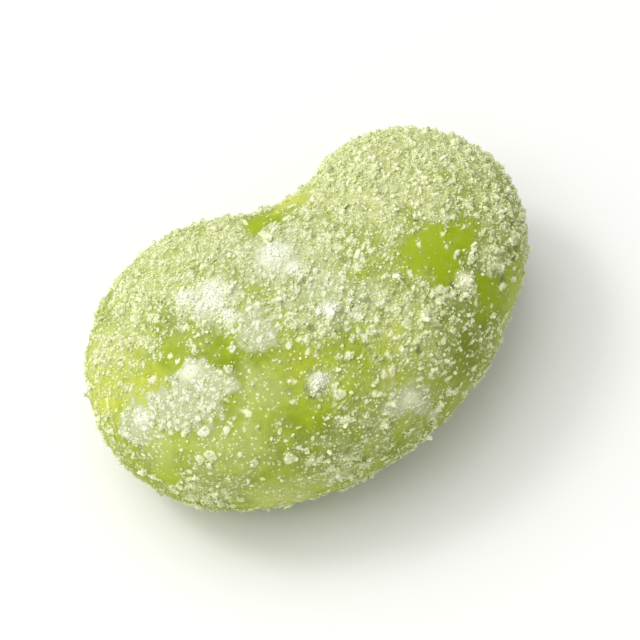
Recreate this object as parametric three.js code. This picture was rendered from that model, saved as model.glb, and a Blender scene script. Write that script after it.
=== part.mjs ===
// A frozen broad bean (Vicia faba), shelled and peeled: the two seed halves, still held together by the root tip
// and frozen into one kidney-shaped piece, lying on a flat cheek.
// Millimetres, +Z up. The long axis lies along X with the small lobe at +X, and the hollow side faces +Y.
// The origin is on the resting face, under the middle of the bean.
import * as THREE from "three";
import { mergeVertices } from "three/addons/utils/BufferGeometryUtils.js";

// Driving dimensions
const length = 24.0; // along X, from lobe to lobe
const width = 15.6; // along Y, across the big lobe
const thickness = 10.6; // along Z, from cheek to cheek

// The rim seen from above is four arcs that run into each other without a corner: the ends of the two lobes,
// the rounded back, which holds both lobes, and the hollow side, which touches both from outside.
const bigLobe = { centre: new THREE.Vector2(-4.7, 1.1), radius: 7.2 };
const smallLobe = { centre: new THREE.Vector2(6.3, 1.1), radius: 5.6 };
const backRadius = 15;
const hollowRadius = 6;

const fullness = 2.35; // 2 is an ellipse in section, more is a flatter cheek and a blunter edge
const bigLobeShare = 0.04; // how much thicker the big lobe is than the middle, and the small lobe thinner
const cheekSpread = 40; // degrees of rim, to each side, over which a cheek's outline is averaged
const cheekCore = 0.2; // share of the way out from the middle where only that averaged outline counts
const surfaceDetail = 20; // subdivisions of the starting icosahedron's edges

// The valley that runs from the hollow side over both cheeks, between the lobes
const valley = { x: 1.6, halfWidth: 3.6, depthShare: 0.08, startY: -4, fullY: 6 };

// Shallow dents in the cheeks: side is 1 on the top one and -1 underneath
const dents = [
  { x: -1.8, y: -2.6, side: 1, radius: 3.2, depth: 0.16 },
  { x: 7.0, y: 1.2, side: 1, radius: 2.6, depth: 0.14 },
  { x: -6.6, y: 3.0, side: 1, radius: 2.8, depth: 0.12 },
  { x: 7.6, y: -1.6, side: -1, radius: 2.6, depth: 0.12 },
  { x: -7.4, y: 0.8, side: -1, radius: 2.8, depth: 0.16 },
];

// The seam between the seed halves: a groove along the rim, open round the hollow side
// and closed on the rounded back
const seam = {
  rimDegrees: 70, // its middle
  openSpan: 50, // degrees of rim to each side where it is at its full depth
  closedSpan: 90, // degrees of rim to each side where it has closed
  halfHeight: 1.0,
  depth: 0.6,
};

// The root tip, a small ridge that lies in the seam on the small lobe's shoulder
const rootTip = { rimDegrees: 36, halfLength: 2.2, halfHeight: 0.65, height: 0.7 };

const restingCut = 0.2; // how much of the lower cheek is pressed flat where the bean rests

const smoothStep = (value, low, high) => THREE.MathUtils.smoothstep(value, low, high);
const bump = (distance) => Math.exp(-distance * distance);

// The point on the hollow side of the lobes that is at the given distances from their centres.
function pointBeside(bigDistance, smallDistance) {
  const line = new THREE.Vector2().subVectors(smallLobe.centre, bigLobe.centre);
  const gap = line.length();
  const along = (bigDistance ** 2 - smallDistance ** 2 + gap ** 2) / (2 * gap);
  const aside = Math.sqrt(bigDistance ** 2 - along ** 2);
  line.normalize();
  return new THREE.Vector2(line.x * along - line.y * aside, line.y * along + line.x * aside).add(bigLobe.centre);
}

// The angle, seen from the middle, of the place where a lobe's arc ends: straight towards or away from a point.
function lobeEnd(lobe, point, side) {
  const end = new THREE.Vector2().subVectors(point, lobe.centre).setLength(side * lobe.radius).add(lobe.centre);
  return THREE.MathUtils.euclideanModulo(end.angle(), 2 * Math.PI);
}

// The arcs in turn, each with the angle where it starts. The hollow's rim is on the near side of its centre.
function rimArcs() {
  const back = pointBeside(backRadius - bigLobe.radius, backRadius - smallLobe.radius);
  const hollow = pointBeside(hollowRadius + bigLobe.radius, hollowRadius + smallLobe.radius);
  return [
    { start: lobeEnd(smallLobe, hollow, 1), centre: hollow, radius: hollowRadius, side: -1 },
    { start: lobeEnd(bigLobe, hollow, 1), centre: bigLobe.centre, radius: bigLobe.radius, side: 1 },
    { start: lobeEnd(bigLobe, back, -1), centre: back, radius: backRadius, side: 1 },
    { start: lobeEnd(smallLobe, back, -1), centre: smallLobe.centre, radius: smallLobe.radius, side: 1 },
  ];
}

const rim = rimArcs();

// Distance from the middle to the rim in a direction.
function rimRadius(angle) {
  const turn = THREE.MathUtils.euclideanModulo(angle, 2 * Math.PI);
  const arc = rim.filter((each) => each.start <= turn).pop() ?? rim[rim.length - 1];
  const along = arc.centre.x * Math.cos(angle) + arc.centre.y * Math.sin(angle);
  return along + arc.side * Math.sqrt(arc.radius ** 2 - arc.centre.lengthSq() + along ** 2);
}

function rimPoint(angle) {
  const radius = rimRadius(angle);
  return new THREE.Vector2(radius * Math.cos(angle), radius * Math.sin(angle));
}

// Where a rim feature sits, and the rim's own direction there.
function rimFrame(degrees) {
  const angle = THREE.MathUtils.degToRad(degrees);
  const step = THREE.MathUtils.degToRad(1);
  const along = rimPoint(angle + step).sub(rimPoint(angle - step)).normalize();
  return { centre: rimPoint(angle), along, out: new THREE.Vector2(along.y, -along.x) };
}

// The rim's distance with its turns evened out over the cheek spread.
function cheekRadius(angle) {
  const spread = THREE.MathUtils.degToRad(cheekSpread);
  const samples = [-1, -0.5, 0, 0.5, 1].map((step) => rimRadius(angle + step * spread));
  return samples.reduce((sum, radius) => sum + radius) / samples.length;
}

// A direction on the unit sphere becomes a point of the plain swollen body, about its mid-plane.
function bodyPoint(direction) {
  const flat = Math.hypot(direction.x, direction.y);
  const swell = (flat ** fullness + Math.abs(direction.z) ** fullness) ** (-1 / fullness);
  const angle = Math.atan2(direction.y, direction.x);
  const rimPull = smoothStep(flat * swell, cheekCore, 1);
  const reach = THREE.MathUtils.lerp(cheekRadius(angle), rimRadius(angle), rimPull) * flat * swell;
  const x = reach * Math.cos(angle);
  const y = reach * Math.sin(angle);
  const lobe = 1 - (bigLobeShare * x) / (length / 2);
  return new THREE.Vector3(x, y, (thickness / 2) * direction.z * swell * lobe);
}

function pressValley(point) {
  const across = bump((point.x - valley.x) / valley.halfWidth);
  point.z *= 1 - valley.depthShare * across * smoothStep(point.y, valley.startY, valley.fullY);
}

function pressDents(point) {
  for (const dent of dents) {
    if (dent.side * point.z <= 0) continue;
    const reach = Math.hypot(point.x - dent.x, point.y - dent.y) / dent.radius;
    point.z -= dent.side * dent.depth * bump(reach) * smoothStep(Math.abs(point.z), 0, thickness / 4);
  }
}

// Moves a point away from the middle of the bean, square to the rim.
function moveOut(point, frame, distance) {
  point.x += distance * frame.out.x;
  point.y += distance * frame.out.y;
}

function cutSeam(point) {
  const degrees = THREE.MathUtils.radToDeg(Math.atan2(point.y, point.x));
  const turn = THREE.MathUtils.euclideanModulo(degrees - seam.rimDegrees + 180, 360) - 180;
  const open = 1 - smoothStep(Math.abs(turn), seam.openSpan, seam.closedSpan);
  const groove = seam.depth * (1 - smoothStep(Math.abs(point.z), 0, seam.halfHeight));
  moveOut(point, rimFrame(degrees), -groove * open);
}

// The ridge fades in half lengths along the rim, half heights up and down, and whole lengths through the bean,
// so that the far side is left alone.
function raiseRootTip(point) {
  const frame = rimFrame(rootTip.rimDegrees);
  const offset = new THREE.Vector2(point.x, point.y).sub(frame.centre);
  const along = offset.dot(frame.along) / rootTip.halfLength;
  const depth = offset.dot(frame.out) / (2 * rootTip.halfLength);
  moveOut(point, frame, rootTip.height * bump(Math.hypot(along, point.z / rootTip.halfHeight, depth)));
}

// Scales and moves the points so that the bean has its driving dimensions, centred on the origin.
function fitToSize(points) {
  const box = new THREE.Box3().setFromPoints(points);
  const size = box.getSize(new THREE.Vector3());
  const centre = box.getCenter(new THREE.Vector3());
  const scale = new THREE.Vector3(length, width, thickness + restingCut).divide(size);
  for (const point of points) point.sub(centre).multiply(scale);
}

// Presses the lower cheek flat and sets that face at z = 0.
function standOnRestingFace(points) {
  const lowest = Math.min(...points.map((point) => point.z));
  for (const point of points) point.z = Math.max(point.z - lowest - restingCut, 0);
}

function beanGeometry() {
  const ball = new THREE.IcosahedronGeometry(1, surfaceDetail);
  ball.deleteAttribute("normal");
  ball.deleteAttribute("uv");
  const geometry = mergeVertices(ball);
  const position = geometry.getAttribute("position");
  const points = [];
  for (let i = 0; i < position.count; i++) {
    const point = bodyPoint(new THREE.Vector3().fromBufferAttribute(position, i).normalize());
    pressValley(point);
    pressDents(point);
    cutSeam(point);
    raiseRootTip(point);
    points.push(point);
  }
  fitToSize(points);
  standOnRestingFace(points);
  points.forEach((point, i) => position.setXYZ(i, point.x, point.y, point.z));
  geometry.computeVertexNormals();
  return geometry;
}

const frostedSeed = new THREE.MeshStandardMaterial({ color: 0xb9c67e, roughness: 0.7, metalness: 0 });

const bean = new THREE.Mesh(beanGeometry(), frostedSeed);
bean.name = "bean";

const frozenBroadBean = new THREE.Group();
frozenBroadBean.name = "frozen_broad_bean";
frozenBroadBean.add(bean);

export default frozenBroadBean;
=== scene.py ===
# A frozen broad bean, peeled: two smooth green seed halves with the root tip in the seam between them,
# hazed with frost and crusted with small ice crystals. It lies on a flat cheek, on a plain pale floor.
import math

import bpy
import numpy as np
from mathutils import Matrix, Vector, noise


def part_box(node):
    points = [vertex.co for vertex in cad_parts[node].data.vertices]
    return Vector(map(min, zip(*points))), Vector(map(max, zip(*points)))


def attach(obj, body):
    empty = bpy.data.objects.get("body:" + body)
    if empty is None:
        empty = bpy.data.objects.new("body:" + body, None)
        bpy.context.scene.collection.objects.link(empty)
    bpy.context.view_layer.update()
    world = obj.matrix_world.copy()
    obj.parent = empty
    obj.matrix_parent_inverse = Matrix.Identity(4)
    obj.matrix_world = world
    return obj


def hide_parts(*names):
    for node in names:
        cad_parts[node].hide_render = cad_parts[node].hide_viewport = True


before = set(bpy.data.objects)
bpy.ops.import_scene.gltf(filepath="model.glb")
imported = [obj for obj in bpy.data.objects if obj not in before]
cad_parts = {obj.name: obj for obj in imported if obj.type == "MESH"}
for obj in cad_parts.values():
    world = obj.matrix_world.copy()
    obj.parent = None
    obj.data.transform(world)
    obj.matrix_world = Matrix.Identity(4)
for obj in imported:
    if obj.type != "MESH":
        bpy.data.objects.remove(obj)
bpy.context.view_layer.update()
mm = 0.001
beanLow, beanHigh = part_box("bean")
beanMiddle = (beanLow + beanHigh) / 2
beanSize = beanHigh - beanLow


def pickOnly(thing):  # select and activate one object, in object mode
    if bpy.context.mode != "OBJECT":
        bpy.ops.object.mode_set(mode="OBJECT")
    bpy.ops.object.select_all(action="DESELECT")
    thing.select_set(True)
    bpy.context.view_layer.objects.active = thing


def applyModifiers(thing):
    pickOnly(thing)
    for modifier in list(thing.modifiers):
        bpy.ops.object.modifier_apply(modifier=modifier.name)


def addNode(tree, kind, **settings):
    node = tree.nodes.new(kind)
    for name, value in settings.items():
        setattr(node, name, value)
    return node


def feed(tree, socket, value):  # link a socket, or set a plain value
    if isinstance(value, bpy.types.NodeSocket):
        tree.links.new(value, socket)
    else:
        socket.default_value = value


def mathNode(tree, operation, first, second):
    node = addNode(tree, "ShaderNodeMath", operation=operation)
    feed(tree, node.inputs[0], first)
    feed(tree, node.inputs[1], second)
    return node.outputs[0]


# The camera looks down on the upper cheek, over the rounded back.
camera = {
    "azimuth": -40,  # from the front, towards the left
    "elevation": 60,
    "lens": 200,  # a long lens from far off
    "sensor": 36,
    "filled": 0.78,  # share of the frame that the bean's length would fill
}


def cameraAxes():  # to the camera's right, up, and from the bean towards it
    azimuth = math.radians(camera["azimuth"])
    elevation = math.radians(camera["elevation"])
    side = math.cos(elevation)
    across = Vector((math.cos(azimuth), math.sin(azimuth), 0))
    back = Vector((math.sin(azimuth) * side, -math.cos(azimuth) * side, math.sin(elevation)))
    return across, back.cross(across), back


def makeCamera():
    back = cameraAxes()[2]
    distance = beanSize.x / camera["filled"] * camera["lens"] / camera["sensor"]
    data = bpy.data.cameras.new("camera")
    data.lens = camera["lens"]
    data.sensor_width = camera["sensor"]
    data.clip_start = distance / 100
    made = bpy.data.objects.new("camera", data)
    bpy.context.scene.collection.objects.link(made)
    made.location = beanMiddle + back * distance
    made.rotation_euler = (-back).to_track_quat("-Z", "Y").to_euler()
    bpy.context.scene.camera = made


# Soft panels, placed in metres from the bean's middle, and a pale room round them
lights = {
    "window": {"place": (-0.14, 0.15, 0.42), "size": 0.54, "power": 1.73, "colour": (1.0, 0.985, 0.95)},
    "lamp": {"place": (-0.16, 0.20, 0.36), "size": 0.10, "power": 0.36, "colour": (1.0, 0.985, 0.95)},
    "fill": {"place": (-0.34, -0.18, 0.34), "size": 0.50, "power": 0.38, "colour": (1.0, 0.995, 0.97)},
}
room = {"colour": (1.0, 0.995, 0.975, 1), "strength": 0.44}


def makeLights():
    for name, light in lights.items():
        data = bpy.data.lights.new(name, "AREA")
        data.size = light["size"]
        data.energy = light["power"]
        data.color = light["colour"]
        made = bpy.data.objects.new(name, data)
        bpy.context.scene.collection.objects.link(made)
        place = Vector(light["place"])
        made.location = beanMiddle + place
        made.rotation_euler = (-place).to_track_quat("-Z", "Y").to_euler()
    world = bpy.data.worlds.new("room")
    world.use_nodes = True
    air = world.node_tree.nodes["Background"]
    air.inputs["Color"].default_value = room["colour"]
    air.inputs["Strength"].default_value = room["strength"]
    bpy.context.scene.world = world
    bpy.context.scene.view_settings.view_transform = "Standard"


floor = {"side": 3.0, "gap": 0.01 * mm, "colour": (0.91, 0.915, 0.925, 1), "roughness": 0.6}


def makeFloor():
    bpy.ops.mesh.primitive_plane_add(size=floor["side"], location=(0, 0, -floor["gap"]))
    made = bpy.context.object
    made.name = "floor"
    paint = bpy.data.materials.new("paleFloor")
    paint.use_nodes = True
    surface = paint.node_tree.nodes["Principled BSDF"]
    surface.inputs["Base Color"].default_value = floor["colour"]
    surface.inputs["Roughness"].default_value = floor["roughness"]
    made.data.materials.append(paint)


makeCamera()
makeLights()
makeFloor()
print("camera, light and floor are set")


body = {
    "cuts": 15,  # across each side of the starting cube
    "levels": 3,  # of Subdivision Surface, for faces about 0.1 mm across
    "ample": 1.25,  # how far the starting ball stands outside the bean
    "easing": 6,  # rounds of smoothing on the coarse wrap, to even out its faces
    "reach": 1.5 * mm,  # how far the fine wrap looks for the solid
    "smoothing": 2,
}


def makeSmoothSolid():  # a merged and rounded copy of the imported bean, for the body to be wrapped on
    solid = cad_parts["bean"].copy()
    solid.data = solid.data.copy()
    solid.parent = None
    bpy.context.scene.collection.objects.link(solid)
    solid.name = "smoothSolid"
    pickOnly(solid)
    bpy.ops.object.mode_set(mode="EDIT")
    bpy.ops.mesh.select_all(action="SELECT")
    bpy.ops.mesh.remove_doubles(threshold=0.001 * mm)
    bpy.ops.object.mode_set(mode="OBJECT")
    rounder = solid.modifiers.new("rounder", "SUBSURF")
    rounder.levels = rounder.render_levels = 2
    applyModifiers(solid)
    return solid


def wrapOn(made, solid, reach, bothWays):
    wrap = made.modifiers.new("wrap", "SHRINKWRAP")
    wrap.target = solid
    wrap.wrap_method = "PROJECT"
    wrap.use_positive_direction = bothWays
    wrap.use_negative_direction = True
    wrap.project_limit = reach


def makeBody():
    solid = makeSmoothSolid()
    bpy.ops.mesh.primitive_cube_add(size=1, location=beanMiddle)
    made = bpy.context.object
    made.name = "beanBody"
    bpy.ops.object.mode_set(mode="EDIT")
    bpy.ops.mesh.select_all(action="SELECT")
    bpy.ops.mesh.subdivide(number_cuts=body["cuts"])
    bpy.ops.transform.tosphere(value=1)
    bpy.ops.object.mode_set(mode="OBJECT")
    made.dimensions = beanSize * body["ample"]
    bpy.ops.object.transform_apply(location=True, rotation=True, scale=True)
    wrapOn(made, solid, 0, False)
    ease = made.modifiers.new("ease", "SMOOTH")
    ease.iterations = body["easing"]
    finer = made.modifiers.new("finer", "SUBSURF")
    finer.levels = finer.render_levels = body["levels"]
    wrapOn(made, solid, body["reach"], True)
    soften = made.modifiers.new("soften", "SMOOTH")
    soften.iterations = body["smoothing"]
    applyModifiers(made)
    bpy.data.objects.remove(solid)
    bpy.ops.object.shade_smooth()
    return made


beanBody = makeBody()
print("body wrapped:", len(beanBody.data.polygons), "faces")


# From here to the crystals, lengths and places are in millimetres.
def smoothStep(value, low, high):
    share = np.clip((value - low) / (high - low), 0, 1)
    return share * share * (3 - 2 * share)


def bump(distance):
    return np.exp(-distance * distance)


# Each call of ripple and granules has its own shift, so that no two patterns fall together.
def ripple(points, size, octaves=2, shift=0.0):  # smooth noise, about -1 to 1, with features of that size
    move = Vector((shift, shift, shift))
    return np.array([noise.fractal(Vector(p) / size + move, 1.0, 2.0, octaves) for p in points])


granule = {
    "spread": 5.3,  # sets their centres apart, so that neighbours draw unlike chances
    "gap": 0.02,  # where a dome starts, and where it is full
    "top": 0.5,
}


def granules(points, size, shift):  # domes, 1 on their tops and 0 in the gaps, and each one's own chance
    move = Vector((shift, shift, shift))
    domes, chances = [], []
    for p in points:
        distances, centres = noise.voronoi(Vector(p) / size + move)
        domes.append(distances[1] - distances[0])
        chances.append(noise.cell(centres[0] * granule["spread"] + move))
    return smoothStep(np.array(domes), granule["gap"], granule["top"]), np.array(chances)


def meshPoints(thing):
    flat = np.empty(len(thing.data.vertices) * 3, np.float32)
    thing.data.vertices.foreach_get("co", flat)
    return flat.reshape(-1, 3).astype(float) / mm


def movePoints(thing, distances):  # along the normals, never through the floor
    flat = np.empty(len(thing.data.vertices) * 3, np.float32)
    thing.data.vertex_normals.foreach_get("vector", flat)
    moved = meshPoints(thing) + flat.reshape(-1, 3) * distances[:, None]
    moved[:, 2] = np.maximum(moved[:, 2], 0)
    thing.data.vertices.foreach_set("co", (moved * mm).astype(np.float32).ravel())
    thing.data.update()


def storeShare(thing, name, values):
    layer = thing.data.attributes.new(name, "FLOAT", "POINT")
    layer.data.foreach_set("value", values.astype(np.float32))


# The seam between the halves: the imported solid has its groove, and this cracks it open
seam = {
    "height": 5.24,  # above the floor
    "middle": 70,  # degrees round the rim from +X
    "open": 42,  # degrees to each side
    "closed": 84,
    "depth": 0.40,
    "width": 0.13,
    "gapes": [(60, 9, 0.15), (98, 14, 0.20)],  # degrees round the rim, spread, and how much wider it is there
    "wander": 0.10,  # how far it strays up and down
    "wanderSize": 2.2,
    "lip": 0.8,  # how far above and below it the frost gathers
    "lipSpread": 0.5,
}

# The root tip lies in the seam on the small lobe's shoulder, thick end out, point towards the hollow side
rootTip = {
    "angle": 34,  # degrees round the rim
    "stride": 4,  # degrees to each side, for the rim's direction there
    "halfLength": 2.3,
    "halfWidth": 0.75,
    "taper": 0.35,  # how much narrower its point is than its middle, and how much wider its thick end
    "height": 0.22,
    "gutter": 0.28,  # how deep the groove round it is
    "whole": 1.4,  # how far in from the rim it stays whole, and where it has gone
    "gone": 2.4,
    "glow": 2.8,  # how far its yellow reaches
}

rimNear = {"degrees": 2, "height": 0.3}  # how near the body's points are that count as one place on the rim


def rimPlace(points, degrees, angle):  # the rim's point at an angle, as the mean of the body's points near it
    near = np.abs(degrees - angle) < rimNear["degrees"]
    near &= np.abs(points[:, 2] - seam["height"]) < rimNear["height"]
    return points[near].mean(axis=0)


def shapeRoot(points, degrees, above):  # where the root tip, its groove and the flesh that it colours are
    lobeEnd = rimPlace(points, degrees, rootTip["angle"] - rootTip["stride"])
    start = rimPlace(points, degrees, rootTip["angle"])
    along = rimPlace(points, degrees, rootTip["angle"] + rootTip["stride"]) - lobeEnd
    along /= np.linalg.norm(along)
    reach = (points - start) @ along / rootTip["halfLength"]
    inward = (points - start) @ np.array((-along[1], along[0], 0))
    inside = 1 - smoothStep(inward, rootTip["whole"], rootTip["gone"])
    inside *= 1 - smoothStep(np.abs(reach), 0.9, 1.1)
    taper = 1 - rootTip["taper"] * reach
    halfWidth = rootTip["halfWidth"] * np.sqrt(np.clip(1 - reach ** 2, 0, 1)) * taper
    edge = np.abs(above) - halfWidth
    dome = np.sqrt(np.clip(1 - (above / np.maximum(halfWidth, 0.1)) ** 2, 0, 1))
    return {
        "inside": inside,
        "root": inside * (1 - smoothStep(edge, -0.1, 0.05)),
        "gutter": inside * bump(edge / seam["width"]),
        "dome": dome,
        "rootReach": np.linalg.norm(points - start, axis=1) / rootTip["glow"],
    }


def cutSeam(thing):
    points = meshPoints(thing)
    degrees = np.degrees(np.arctan2(points[:, 1], points[:, 0]))
    turn = np.abs((degrees - seam["middle"] + 180) % 360 - 180)
    opened = 1 - smoothStep(turn, seam["open"], seam["closed"])
    stray = seam["wander"] * ripple(points * (1, 1, 0), seam["wanderSize"], 2, 9.0)
    above = points[:, 2] - seam["height"] - stray
    tip = shapeRoot(points, degrees, above)

    width = seam["width"] * np.ones(len(points))
    for angle, spread, wider in seam["gapes"]:
        width += wider * bump((degrees - angle) / spread)
    shadedCrack = np.maximum(opened * bump(above / width) * (1 - tip["inside"]), tip["gutter"])
    drop = np.maximum(seam["depth"] * shadedCrack, rootTip["gutter"] * tip["gutter"])
    movePoints(thing, rootTip["height"] * tip["root"] * tip["dome"] - drop)
    lips = opened * bump((np.abs(above) - seam["lip"]) / seam["lipSpread"]) * (1 - tip["root"])
    return {"shadedCrack": shadedCrack, "root": tip["root"], "lips": lips, "rootReach": tip["rootReach"]}


# Where the frost and the colours lie, as the camera sees the bean: how far to the right of its middle and
# how far above it, and the radius
patches = {
    "bare": [  # the flesh shows clean
        (5.3, 3.3, 1.1),
        (6.4, 2.7, 1.2),
        (7.4, 3.9, 0.8),
        (6.0, 4.1, 0.6),
        (8.8, 1.1, 1.1),
        (10.2, 0.6, 2.1),
        (-2.6, 4.7, 0.5),
        (-1.9, 5.1, 0.6),
        (-1.3, 5.6, 0.6),
        (-6.7, -7.6, 0.7),
        (-1.8, -9.0, 0.6),
    ],
    "film": [  # thick, even, greyish white
        (-5.4, -3.4, 1.5),
        (-4.4, -2.8, 0.9),
        (-6.7, -4.3, 1.1),
        (-8.2, -5.1, 1.0),
        (-2.5, -0.6, 0.9),
        (-2.7, 0.3, 0.7),
        (-1.6, 3.0, 1.1),
        (4.6, -4.0, 0.8),
        (5.5, -4.0, 0.7),
        (6.2, -4.6, 0.5),
    ],
    "dense": [  # many bright crystals
        (-4.6, 0.9, 1.6),
        (-8.0, 1.6, 2.0),
        (-8.9, -0.4, 1.6),
        (-7.1, 3.2, 1.6),
        (-4.5, 3.9, 1.4),
        (-1.5, 3.0, 1.9),
        (0.4, 2.7, 1.6),
        (0.5, 1.0, 1.9),
        (0.7, -3.0, 0.7),
        (3.6, 0.9, 1.4),
        (5.1, -0.8, 1.8),
        (7.6, 1.8, 1.0),
        (9.0, 2.7, 0.8),
        (-4.7, -8.4, 1.6),
        (1.9, -7.1, 1.8),
        (3.3, -5.0, 1.1),
        (6.4, -2.0, 0.8),
        (2.1, 5.2, 1.0),
        (3.5, 5.9, 1.5),
        (5.6, 6.2, 1.4),
        (1.6, 7.0, 1.2),
        (3.3, 7.9, 1.8),
        (5.7, 8.6, 2.2),
    ],
    "sparse": [  # few crystals on clear flesh
        (-6.5, -2.1, 1.1),
        (-4.1, -1.7, 0.9),
        (-0.7, -2.5, 0.8),
        (0.2, -4.4, 0.9),
        (2.1, 3.0, 0.9),
        (-2.0, 5.0, 1.2),
        (-1.1, 5.5, 1.0),
        (8.1, -0.3, 0.9),
        (7.9, -2.1, 1.3),
        (6.8, -5.3, 1.8),
    ],
    "thin": [  # a smooth pale haze with few crystals
        (-3.6, -6.5, 1.6),
        (-1.1, -8.7, 1.8),
        (-2.1, -3.3, 1.2),
        (4.6, -4.3, 1.5),
        (-7.0, -6.3, 1.1),
    ],
    "drift": [  # piled white powder
        (-4.5, 1.1, 0.9),
        (-5.7, 1.0, 0.5),
        (-3.7, 0.2, 0.4),
        (-1.6, 3.1, 0.7),
        (-0.6, 2.5, 0.5),
        (0.8, 0.5, 0.4),
        (0.6, -3.0, 0.3),
        (7.6, 1.8, 0.4),
        (4.9, -4.1, 0.5),
        (-5.5, -2.3, 0.4),
        (-7.9, -4.8, 0.4),
    ],
    "cool": [  # whiter, colder frost than the rest
        (-1.5, 3.1, 2.0),
        (0.2, 1.5, 1.8),
        (2.3, 0.7, 1.2),
        (-4.6, 1.0, 1.5),
        (-2.6, -0.4, 1.2),
        (-5.5, -3.6, 2.0),
        (-8.0, -5.0, 1.2),
        (0.6, -3.0, 0.6),
    ],
    "yellow": [  # paler, yellower flesh
        (-10.0, -3.0, 3.2),
        (-7.5, -4.1, 1.7),
        (-0.6, 5.9, 1.3),
        (4.9, -1.3, 1.8),
    ],
    "pitted": [  # pits between the crystals, painted dark as shade
        (-0.7, 2.3, 2.6),
        (1.3, 0.2, 2.6),
        (4.1, 0.8, 2.0),
        (1.0, -4.7, 2.4),
        (3.6, -6.2, 2.2),
        (7.0, -3.0, 2.6),
        (8.0, 1.3, 1.6),
        (9.7, 3.3, 2.0),
    ],
    "oliveAndShade": [  # darker, duller flesh, partly painted shade on the right-hand side
        (8.0, -2.3, 2.8),
        (9.7, -1.6, 2.3),
        (6.6, -5.3, 3.0),
        (10.7, 2.5, 2.0),
        (8.2, -0.7, 1.2),
    ],
}

# How soft the borders of the patches are, as a share of their radius
patchEdges = {
    "bare": 0.55,
    "film": 0.25,
    "dense": 0.5,
    "sparse": 0.5,
    "thin": 0.8,
    "drift": 0.8,
    "cool": 0.7,
    "yellow": 0.7,
    "pitted": 0.8,
    "oliveAndShade": 0.7,
}


sight = {"width": 0.2, "fall": 30}  # how wide a place is in the view, and how soon the rest counts less


def frontPlace(points, seen, across, up):  # the point nearest the camera at a place in its view
    aside = np.hypot(seen[:, 0] - across, seen[:, 1] - up)
    return points[np.argmax(seen[:, 2] - sight["fall"] * np.maximum(aside - sight["width"], 0))]


def roundShare(reach, edge):  # 1 within a reach of 1 and 0 outside, over a soft border
    return 1 - smoothStep(reach, 1 - edge, 1 + edge)


def spotShare(points, seen, spots, edge, ragged):
    share = np.zeros(len(points))
    for across, up, radius in spots:
        reach = np.linalg.norm(points - frontPlace(points, seen, across, up), axis=1) / radius
        share = np.maximum(share, roundShare(reach + ragged, edge))
    return share


def patchShares(points, rootReach):
    seen = points @ np.array(cameraAxes()).T
    seen -= (seen.min(axis=0) + seen.max(axis=0)) / 2
    ragged = 0.45 * ripple(points, 0.8, 2, 7.0) + 0.30 * ripple(points, 0.3, 1, 8.0)
    shares = {}
    for name, spots in patches.items():
        shares[name] = spotShare(points, seen, spots, patchEdges[name], ragged)
    nearRoot = roundShare(rootReach + ragged, patchEdges["yellow"])
    shares["yellow"] = np.maximum(shares["yellow"], nearRoot)
    return shares


# How much frost lies where, as a share of full frost: an even coat, and what is added to it or taken from it
coat = {
    "even": 0.50,
    "broad": 0.16,  # unevenness over a few millimetres
    "broadSize": 2.6,
    "fine": 0.34,  # unevenness under a millimetre
    "fineSize": 0.8,
    "far": 0.18,  # more on the side away from the camera, partly frost and partly painted light that makes that side brighter
    "farWay": (0.64, 0.77),
    "farReach": 5,
    "dense": 0.34,
    "lips": 0.25,
    "thin": 0.30,  # how much less there is in these patches
    "sparse": 0.24,
    "film": 0.85,  # how much there is at least in a film
    "least": 0.08,
    "offCrack": 0.85,  # the share that is lost in the crack and on the root tip
    "offRoot": 0.6,
}


def frostShare(points, shares, marks):
    frost = coat["even"] + coat["broad"] * ripple(points, coat["broadSize"])
    frost += coat["fine"] * ripple(points, coat["fineSize"], 2, 15.0)
    # partly more frost, partly painted light: the side away from the camera is made brighter
    frost += coat["far"] * np.clip(points[:, :2] @ np.array(coat["farWay"]) / coat["farReach"], -1, 1)
    frost += coat["dense"] * shares["dense"] + coat["lips"] * marks["lips"]
    frost -= coat["thin"] * shares["thin"] + coat["sparse"] * shares["sparse"]
    frost = np.maximum(frost, np.maximum(coat["film"] * shares["film"], shares["drift"]))
    frost = np.clip(frost, coat["least"], 1) * (1 - shares["bare"])
    return frost * (1 - coat["offCrack"] * marks["shadedCrack"]) * (1 - coat["offRoot"] * marks["root"])


crust = {
    "under": 0.14,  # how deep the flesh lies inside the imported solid, which leaves room for frost
    "lump": 0.09,  # how far broad lumps rise or fall
    "lumpSize": 3.4,
    "pucker": 0.035,
    "puckerSize": 1.2,
    "granule": 0.50,  # across a large granule
    "granuleRise": 0.12,
    "grit": 0.27,  # across a small one
    "gritRise": 0.06,
    "shadedPit": 0.42,  # across a gap between the crystals, painted dark as shade
    "pitDrop": 0.08,
    "pitChance": 0.36,  # about the share of the cells in a pitted patch that are pits
    "film": 0.08,  # how thick the even patches stand
    "stray": 0.012,  # the fewest crystals anywhere, as a share of full frost
    "filmTop": 0.7,  # the shares of the crystals that films, thin patches and pits lose
    "thinTop": 0.65,
    "pitTop": 0.9,
}

# What the seed's material reads from the body
seedMarks = [
    "frost", "rime", "shadedPit", "bare", "film", "thin",
    "drift", "cool", "yellow", "oliveAndShade", "shadedCrack", "root",
]


# where the pits lie; the seed paints them dark, as the shade between the crystals
def pitShare(points, frost, shares):
    domes, chances = granules(points, crust["shadedPit"], 12.0)
    shadedPit = smoothStep(domes + 0.5 * ripple(points, 0.3, 1, 13.0), 0.1, 0.7)
    shadedPit *= smoothStep(crust["pitChance"] * shares["pitted"] + chances, 1.0, 1.08)
    return shadedPit * smoothStep(frost, 0.2, 0.5) * (1 - shares["film"]) * (1 - shares["drift"])


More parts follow.
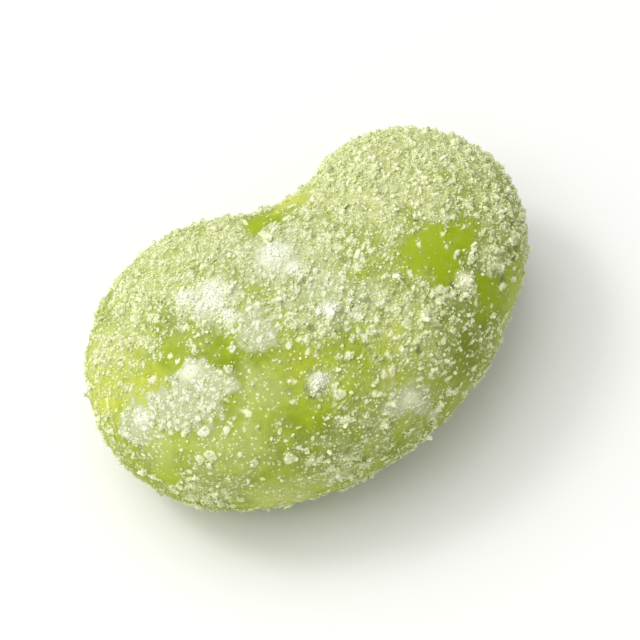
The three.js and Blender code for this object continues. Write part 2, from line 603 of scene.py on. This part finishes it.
def growCrust(thing, marks):
    points = meshPoints(thing)
    shares = patchShares(points, marks["rootReach"])
    frost = frostShare(points, shares, marks)
    domes, chances = granules(points, crust["granule"], 3.0)
    large = domes * smoothStep(frost + chances, 0.90, 1.10) * (1 - 0.85 * shares["film"])
    domes, chances = granules(points, crust["grit"], 6.0)
    small = domes * smoothStep(frost + chances, 0.85, 1.05)
    shadedPit = pitShare(points, frost, shares)

    offFloor = smoothStep(points[:, 2], 0.1, 1.1)
    rise = crust["lump"] * ripple(points, crust["lumpSize"], 1, 11.0)
    rise += crust["pucker"] * ripple(points, crust["puckerSize"], 2, 5.0)
    rise += crust["granuleRise"] * large + crust["gritRise"] * small
    rise += crust["film"] * np.maximum(shares["film"], shares["drift"]) - crust["pitDrop"] * shadedPit
    movePoints(thing, (rise - crust["under"]) * offFloor)

    rime = np.clip(0.8 * large + 0.7 * small, 0, 1) * (1 - shadedPit)
    clustered = np.maximum(smoothStep(rime, 0.05, 0.6), 0.7 * shares["drift"])
    sprinkle = frost * (0.12 + 0.88 * clustered)
    sprinkle *= (1 - crust["filmTop"] * shares["film"]) * (1 - crust["thinTop"] * shares["thin"])
    sprinkle = np.maximum(sprinkle, crust["stray"]) * (1 - crust["pitTop"] * shadedPit) * offFloor
    marks = dict(marks, **shares, frost=frost, rime=rime, shadedPit=shadedPit)
    for name in seedMarks:
        storeShare(thing, name, marks[name])
    storeShare(thing, "sprinkle", sprinkle)


growCrust(beanBody, cutSeam(beanBody))
print("seam cut and frost laid on the body")


# The crystals, each modelled once at a unit size
def editWhole():
    bpy.ops.object.mode_set(mode="EDIT")
    bpy.ops.mesh.select_all(action="SELECT")


def makeCrumb():  # a chunky irregular grain
    bpy.ops.mesh.primitive_ico_sphere_add(subdivisions=1, radius=0.5)
    editWhole()
    bpy.ops.transform.vertex_random(offset=0.14, uniform=0.8, seed=4)
    bpy.ops.transform.resize(value=(1.0, 0.8, 0.72))


def makeGrit():  # an eight-sided grain
    bpy.ops.mesh.primitive_uv_sphere_add(segments=4, ring_count=2, radius=0.5)
    editWhole()
    bpy.ops.transform.vertex_random(offset=0.12, uniform=0.8, seed=3)


def makeNeedle():  # a long eight-sided grain, thickest near its foot
    bpy.ops.mesh.primitive_uv_sphere_add(segments=4, ring_count=2, radius=0.5)
    editWhole()
    bpy.ops.transform.vertex_random(offset=0.08, uniform=0.8, seed=8)
    bpy.ops.transform.resize(value=(0.42, 0.36, 1.2))


def makeClump():  # three grains grown together
    places = [(0, 0, 0, 0.34), (0.26, 0.1, 0.08, 0.24), (-0.16, 0.24, 0.12, 0.22)]
    for i, (x, y, z, radius) in enumerate(places):
        bpy.ops.mesh.primitive_ico_sphere_add(subdivisions=1, radius=radius, location=(x, y, z))
        if i == 0:
            editWhole()
    bpy.ops.mesh.select_all(action="SELECT")
    bpy.ops.transform.vertex_random(offset=0.07, uniform=0.8, seed=12)


def makePlate():  # a thin six-sided flake
    bpy.ops.mesh.primitive_cylinder_add(vertices=6, radius=0.5, depth=0.16)
    editWhole()
    bpy.ops.transform.vertex_random(offset=0.05, uniform=0.7, seed=6)
    bpy.ops.transform.resize(value=(1.0, 0.74, 1.0))


def makeColumn():  # a six-sided column that narrows to a blunt tip
    bpy.ops.mesh.primitive_cylinder_add(vertices=6, radius=0.2, depth=0.7)
    made = bpy.context.object
    for face in made.data.polygons:
        face.select = face.normal.z > 0.9
    bpy.ops.object.mode_set(mode="EDIT")
    bpy.ops.mesh.extrude_region_move(TRANSFORM_OT_translate={"value": (0.03, 0, 0.16)})
    bpy.ops.transform.resize(value=(0.35, 0.45, 1.0))


def makeShard():  # a slanted splinter
    bpy.ops.mesh.primitive_cube_add(size=0.6)
    editWhole()
    bpy.ops.transform.vertex_random(offset=0.16, uniform=0.5, seed=9)
    bpy.ops.transform.resize(value=(1.2, 0.7, 0.6))


crystalMakers = {
    "crumb": makeCrumb,
    "grit": makeGrit,
    "needle": makeNeedle,
    "clump": makeClump,
    "plate": makePlate,
    "column": makeColumn,
    "shard": makeShard,
}


def makeShapes():
    made = {}
    for name, maker in crystalMakers.items():
        maker()
        bpy.ops.object.mode_set(mode="OBJECT")
        made[name] = bpy.context.object
        made[name].name = name
    return made


def makeMaterial(name):
    paint = bpy.data.materials.new(name)
    paint.use_nodes = True
    return paint, paint.node_tree, paint.node_tree.nodes["Principled BSDF"]


def mixColours(tree, amount, first, second):
    node = addNode(tree, "ShaderNodeMix", data_type="RGBA")
    for socket, value in zip((node.inputs[0], node.inputs[6], node.inputs[7]), (amount, first, second)):
        feed(tree, socket, value)
    return node.outputs[2]


def shareOf(tree, name):
    return addNode(tree, "ShaderNodeAttribute", attribute_name=name).outputs["Fac"]


def noiseAt(tree, place, featureSize, detail=3.0, roughness=0.5):
    node = addNode(tree, "ShaderNodeTexNoise")
    node.inputs["Scale"].default_value = 1 / (featureSize * mm)
    node.inputs["Detail"].default_value = detail
    node.inputs["Roughness"].default_value = roughness
    tree.links.new(place, node.inputs["Vector"])
    return node.outputs["Fac"]


def between(tree, value, low, high, toLow=0.0, toHigh=1.0):
    node = addNode(tree, "ShaderNodeMapRange", interpolation_type="SMOOTHSTEP")
    for socket, number in zip(node.inputs[:5], (value, low, high, toLow, toHigh)):
        feed(tree, socket, number)
    return node.outputs[0]


# Fine frost as packed cells: Mask is 1 on the share of them that Cover asks for, Height is their domes
def makeGrainGroup():
    tree = bpy.data.node_groups.new("frostGrain", "ShaderNodeTree")
    for name, kind in {"Place": "Vector", "Size": "Float", "Cover": "Float"}.items():
        tree.interface.new_socket(name, in_out="INPUT", socket_type="NodeSocket" + kind)
    for name in ("Mask", "Height"):
        tree.interface.new_socket(name, in_out="OUTPUT", socket_type="NodeSocketFloat")
    start = addNode(tree, "NodeGroupInput")
    end = addNode(tree, "NodeGroupOutput")
    scale = mathNode(tree, "DIVIDE", 1.0, start.outputs["Size"])
    cells = addNode(tree, "ShaderNodeTexVoronoi", feature="F1")
    tree.links.new(start.outputs["Place"], cells.inputs["Vector"])
    tree.links.new(scale, cells.inputs["Scale"])
    parts = addNode(tree, "ShaderNodeSeparateColor")
    tree.links.new(cells.outputs["Color"], parts.inputs[0])
    chance = mathNode(tree, "ADD", parts.outputs[0], start.outputs["Cover"])
    dome = between(tree, cells.outputs["Distance"], 0.15, 0.65, 1.0, 0.0)
    shown = mathNode(tree, "MULTIPLY", between(tree, chance, 0.92, 1.12), dome)
    tree.links.new(shown, end.inputs["Mask"])
    tree.links.new(mathNode(tree, "MULTIPLY", dome, parts.outputs[1]), end.inputs["Height"])
    return tree


def grainAt(tree, place, size, cover):
    node = addNode(tree, "ShaderNodeGroup", node_tree=frostGrain)
    feed(tree, node.inputs["Place"], place)
    feed(tree, node.inputs["Size"], size * mm)
    feed(tree, node.inputs["Cover"], cover)
    return node.outputs["Mask"], node.outputs["Height"]


seedFinish = {
    "lime": (0.33, 0.44, 0.014, 1),
    "deepAndGapShade": (0.13, 0.175, 0.012, 1),
    "yellow": (0.56, 0.62, 0.075, 1),
    # olive: duller flesh, and painted shade on the right-hand side
    "oliveAndShade": (0.19, 0.22, 0.03, 1),
    # the seam crack is painted near black, as the shade inside it
    "shadedCrack": (0.14, 0.13, 0.02, 1),
    "root": (0.66, 0.63, 0.17, 1),
    # the pits are painted dark, as the shade between the crystals
    "shadedPit": (0.25, 0.30, 0.10, 1),
    "haze": (0.45, 0.52, 0.19, 1),
    "pale": (0.65, 0.69, 0.31, 1),
    "frost": (0.90, 0.925, 0.62, 1),
    "chill": (0.56, 0.61, 0.38, 1),
    "film": (0.51, 0.55, 0.31, 1),
    "cool": (0.89, 0.92, 0.76, 1),
    "grain": 0.13,  # across a grain of the finest frost, and how far it stands up
    "relief": 0.05,
}


def times(tree, first, second):
    return mathNode(tree, "MULTIPLY", first, second)


def larger(tree, first, second):
    return mathNode(tree, "MAXIMUM", first, second)


def without(tree, share):
    return mathNode(tree, "SUBTRACT", 1.0, share)


def fleshColour(tree, place, share):  # the clean seed, with its darker, duller and yellower parts; the darker green is partly painted shade between the crystals, and the duller olive partly painted shade on the right-hand side
    broad = between(tree, noiseAt(tree, place, 5.0, 2.0), 0.35, 0.70)
    # deeper green mottling, stronger where the frost is thick: partly the flesh's own tone, partly painted
    # shade in the gaps between the crystals
    mottleAndGapShade = between(tree, noiseAt(tree, place, 0.8, 4.0, 0.6), 0.32, 0.62)
    mottleAndGapShade = times(tree, mottleAndGapShade, between(tree, share["frost"], 0.15, 0.55, 0.5, 1.0))
    green = mixColours(tree, mottleAndGapShade, seedFinish["lime"], seedFinish["deepAndGapShade"])
    # the olive patches paint shade on the right-hand side, over flesh that is also duller there
    green = mixColours(tree, times(tree, share["oliveAndShade"], 0.7), green, seedFinish["oliveAndShade"])
    green = mixColours(tree, times(tree, share["bare"], 0.85), green, seedFinish["lime"])
    paler = larger(tree, times(tree, broad, 0.45), share["yellow"])
    green = mixColours(tree, paler, green, seedFinish["yellow"])
    return mixColours(tree, share["root"], green, seedFinish["root"])


def hazedColour(tree, place, share, flesh):  # the flesh through thin frost, with painted shade in the pits, and the films
    veil = between(tree, noiseAt(tree, place, 0.6, 4.0, 0.6), 0.48, 0.75, 0.0, 0.30)
    veil = larger(tree, veil, between(tree, share["frost"], 0.0, 0.65, 0.0, 0.60))
    hazed = mixColours(tree, veil, flesh, seedFinish["haze"])
    pale = between(tree, share["frost"], 0.50, 1.0, 0.0, 0.7)
    pale = larger(tree, pale, times(tree, share["thin"], 0.4))
    hazed = mixColours(tree, pale, hazed, seedFinish["pale"])
    chill = times(tree, share["cool"], between(tree, share["frost"], 0.3, 0.8, 0.0, 0.7))
    hazed = mixColours(tree, chill, hazed, seedFinish["chill"])
    # painted shade in the pits between the crystals
    hazed = mixColours(tree, times(tree, share["shadedPit"], 0.8), hazed, seedFinish["shadedPit"])
    return mixColours(tree, share["film"], hazed, seedFinish["film"])


def makeSeedMaterial():
    paint, tree, surface = makeMaterial("frostedSeed")
    place = addNode(tree, "ShaderNodeTexCoord").outputs["Object"]
    share = {name: shareOf(tree, name) for name in seedMarks}
    hazed = hazedColour(tree, place, share, fleshColour(tree, place, share))
    cover = larger(tree, times(tree, share["frost"], 0.75), times(tree, share["thin"], 0.3))
    mask, height = grainAt(tree, place, seedFinish["grain"], cover)
    white = between(tree, share["rime"], 0.06, 0.45, 0.0, 0.85)
    white = times(tree, larger(tree, white, times(tree, mask, 0.8)), without(tree, share["shadedPit"]))
    white = larger(tree, white, times(tree, share["drift"], 0.9))
    frost = mixColours(tree, share["cool"], seedFinish["frost"], seedFinish["cool"])
    # painted shade inside the seam crack
    colour = mixColours(tree, share["shadedCrack"], mixColours(tree, white, hazed, frost), seedFinish["shadedCrack"])
    tree.links.new(colour, surface.inputs["Base Color"])
    tree.links.new(between(tree, share["frost"], 0.0, 0.5, 0.25, 0.65), surface.inputs["Roughness"])
    tree.links.new(between(tree, share["bare"], 0.3, 1.0, 0.0, 0.05), surface.inputs["Coat Weight"])
    surface.inputs["Coat Roughness"].default_value = 0.15
    surface.inputs["Specular IOR Level"].default_value = 0.02
    surface.inputs["Subsurface Weight"].default_value = 0.3
    surface.inputs["Subsurface Radius"].default_value = (0.8, 1.0, 0.3)
    surface.inputs["Subsurface Scale"].default_value = 0.6 * mm
    relief = addNode(tree, "ShaderNodeBump")
    relief.inputs["Distance"].default_value = seedFinish["relief"] * mm
    relief.inputs["Strength"].default_value = 0.8
    height = times(tree, height, between(tree, share["frost"], 0.0, 0.3, 0.08, 1.0))
    tree.links.new(height, relief.inputs["Height"])
    tree.links.new(relief.outputs["Normal"], surface.inputs["Normal"])
    return paint


iceFinish = {
    "tip": (0.96, 0.97, 0.75, 1),
    # the feet of the crystals are painted darker and greener than their tips, as the shade near the body and
    # the green light that the flesh sends up through the ice
    "greenLitFoot": (0.80, 0.84, 0.49, 1),
    "clear": (0.54, 0.60, 0.24, 1),
    "cool": (0.95, 0.96, 0.86, 1),
    "clearShare": 0.40,  # how many of the crystals are clear ice, which takes its colour from the flesh
    "fullLift": 0.3,  # how far off the body the lift of a crystal is 1
    "cloud": 0.09,  # across the white cells inside a crystal
    "refraction": 1.31,
}


def makeIceMaterial():
    paint, tree, surface = makeMaterial("frostIce")
    place = addNode(tree, "ShaderNodeTexCoord").outputs["Object"]
    tip = between(tree, shareOf(tree, "lift"), 0.1, 0.85)
    cloud = grainAt(tree, place, iceFinish["cloud"], 0.5)[0]
    clearShare = iceFinish["clearShare"]
    clear = between(tree, shareOf(tree, "tint"), clearShare - 0.1, clearShare + 0.1, 1.0, 0.0)
    clear = times(tree, clear, between(tree, cloud, 0.0, 1.0, 1.0, 0.4))
    drift = shareOf(tree, "drift")
    clear = times(tree, clear, without(tree, drift))
    tipColour = mixColours(tree, shareOf(tree, "cool"), iceFinish["tip"], iceFinish["cool"])
    # painted shade and green light at the feet of the crystals, white at their tips
    colour = mixColours(tree, larger(tree, tip, drift), iceFinish["greenLitFoot"], tipColour)
    colour = mixColours(tree, times(tree, clear, 0.75), colour, iceFinish["clear"])
    tree.links.new(colour, surface.inputs["Base Color"])
    tree.links.new(between(tree, clear, 0.0, 1.0, 0.34, 0.10), surface.inputs["Roughness"])
    surface.inputs["IOR"].default_value = iceFinish["refraction"]
    surface.inputs["Specular IOR Level"].default_value = 0.9
    return paint


frostGrain = makeGrainGroup()
frostedSeed = makeSeedMaterial()
frostIce = makeIceMaterial()
beanBody.data.materials.append(frostedSeed)
print("materials made")


# How each kind of crystal is strewn: how many on a square millimetre of full frost, the smallest and the
# largest in millimetres, how much the small ones are favoured, how far they lean in radians, how far they
# stand off the body as a share of their size, and how fast they thin out where there is less frost
scatters = {
    "frostGrit": {
        "shapes": ["grit"],
        "perArea": 74, "small": 0.07, "large": 0.17,
        "favour": 1.3, "tilt": 1.5, "lift": 0.15, "power": 1.0, "seed": 1,
    },
    "frostNeedles": {
        "shapes": ["needle", "grit"],
        "perArea": 80, "small": 0.10, "large": 0.26,
        "favour": 1.5, "tilt": 1.1, "lift": 0.12, "power": 1.0, "seed": 2,
    },
    "frostGrains": {
        "shapes": ["crumb", "clump", "shard"],
        "perArea": 12, "small": 0.20, "large": 0.46,
        "favour": 1.6, "tilt": 1.6, "lift": 0.06, "power": 1.2, "seed": 3,
    },
    "frostFlakes": {
        "shapes": ["clump", "column", "plate"],
        "perArea": 2.2, "small": 0.38, "large": 0.66,
        "favour": 1.8, "tilt": 1.2, "lift": 0.04, "power": 1.5, "seed": 4,
    },
}


def randomValue(tree, kind, seed, low=0.0, high=1.0):
    node = addNode(tree, "FunctionNodeRandomValue", data_type=kind)
    slot = {"FLOAT_VECTOR": 0, "FLOAT": 2, "INT": 4}[kind]
    node.inputs[slot].default_value = low
    node.inputs[slot + 1].default_value = high
    node.inputs["Seed"].default_value = seed
    return node.outputs[slot // 2]


def storedNode(tree, name, domain, geometry, value):
    node = addNode(tree, "GeometryNodeStoreNamedAttribute", data_type="FLOAT", domain=domain)
    node.inputs["Name"].default_value = name
    tree.links.new(geometry, node.inputs["Geometry"])
    tree.links.new(value, node.inputs["Value"])
    return node.outputs[0]


def scatterTree(name, look, shapes):
    tree = bpy.data.node_groups.new(name, "GeometryNodeTree")
    tree.interface.new_socket("Geometry", in_out="INPUT", socket_type="NodeSocketGeometry")
    tree.interface.new_socket("Geometry", in_out="OUTPUT", socket_type="NodeSocketGeometry")
    start = addNode(tree, "NodeGroupInput")
    end = addNode(tree, "NodeGroupOutput")
    link = tree.links.new
    seed = look["seed"] * 10

    share = addNode(tree, "GeometryNodeInputNamedAttribute", data_type="FLOAT")
    share.inputs["Name"].default_value = "sprinkle"
    wanted = mathNode(tree, "POWER", share.outputs[0], look["power"])
    points = addNode(tree, "GeometryNodeDistributePointsOnFaces", distribute_method="RANDOM")
    points.inputs["Seed"].default_value = seed
    link(start.outputs[0], points.inputs["Mesh"])
    link(mathNode(tree, "MULTIPLY", wanted, look["perArea"] / mm ** 2), points.inputs["Density"])

    grown = mathNode(tree, "POWER", randomValue(tree, "FLOAT", seed + 1), look["favour"])
    grown = mathNode(tree, "MULTIPLY", grown, (look["large"] - look["small"]) * mm)
    size = mathNode(tree, "ADD", grown, look["small"] * mm)
    lifted = addNode(tree, "ShaderNodeVectorMath", operation="SCALE")
    link(points.outputs["Normal"], lifted.inputs[0])
    link(mathNode(tree, "MULTIPLY", size, look["lift"]), lifted.inputs["Scale"])
    placed = addNode(tree, "GeometryNodeSetPosition")
    link(points.outputs["Points"], placed.inputs["Geometry"])
    link(lifted.outputs[0], placed.inputs["Offset"])

    tilt = look["tilt"]
    turn = randomValue(tree, "FLOAT_VECTOR", seed + 2, (-tilt, -tilt, 0), (tilt, tilt, 2 * math.pi))
    asRotation = addNode(tree, "FunctionNodeEulerToRotation")
    link(turn, asRotation.inputs[0])
    turned = addNode(tree, "FunctionNodeRotateRotation", rotation_space="LOCAL")
    link(points.outputs["Rotation"], turned.inputs["Rotation"])
    link(asRotation.outputs[0], turned.inputs["Rotate By"])

    kinds = addNode(tree, "GeometryNodeCollectionInfo")
    kinds.inputs["Collection"].default_value = shapes
    kinds.inputs["Separate Children"].default_value = True
    kinds.inputs["Reset Children"].default_value = True
    crystals = addNode(tree, "GeometryNodeInstanceOnPoints")
    crystals.inputs["Pick Instance"].default_value = True
    link(placed.outputs[0], crystals.inputs["Points"])
    link(kinds.outputs[0], crystals.inputs["Instance"])
    link(randomValue(tree, "INT", seed + 3, 0, len(look["shapes"]) - 1), crystals.inputs["Instance Index"])
    link(turned.outputs[0], crystals.inputs["Rotation"])
    link(size, crystals.inputs["Scale"])

    tinted = storedNode(tree, "tint", "INSTANCE", crystals.outputs[0], randomValue(tree, "FLOAT", seed + 4))
    real = addNode(tree, "GeometryNodeRealizeInstances")
    link(tinted, real.inputs[0])
    above = addNode(tree, "GeometryNodeProximity", target_element="FACES")
    link(start.outputs[0], above.inputs[0])
    height = mathNode(tree, "DIVIDE", above.outputs["Distance"], iceFinish["fullLift"] * mm)
    measured = storedNode(tree, "lift", "POINT", real.outputs[0], height)
    painted = addNode(tree, "GeometryNodeSetMaterial")
    painted.inputs["Material"].default_value = frostIce
    link(measured, painted.inputs["Geometry"])
    link(painted.outputs[0], end.inputs[0])
    return tree


def makeScatter(name, look, shapes):
    group = bpy.data.collections.new(name + "Shapes")
    for shape in look["shapes"]:
        group.objects.link(shapes[shape])
    pickOnly(beanBody)
    bpy.ops.object.duplicate()
    made = bpy.context.object
    made.name = name
    sprinkle = made.modifiers.new("sprinkle", "NODES")
    sprinkle.node_group = scatterTree(name, look, group)
    applyModifiers(made)
    bpy.data.collections.remove(group)
    made.data.calc_loop_triangles()
    print(made.name, len(made.data.loop_triangles), "triangles")
    return made


shapes = makeShapes()
crystals = [makeScatter(name, look, shapes) for name, look in scatters.items()]
for shape in shapes.values():
    bpy.data.objects.remove(shape)

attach(beanBody, "root")
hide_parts("bean")
for piece in crystals:
    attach(piece, "root")
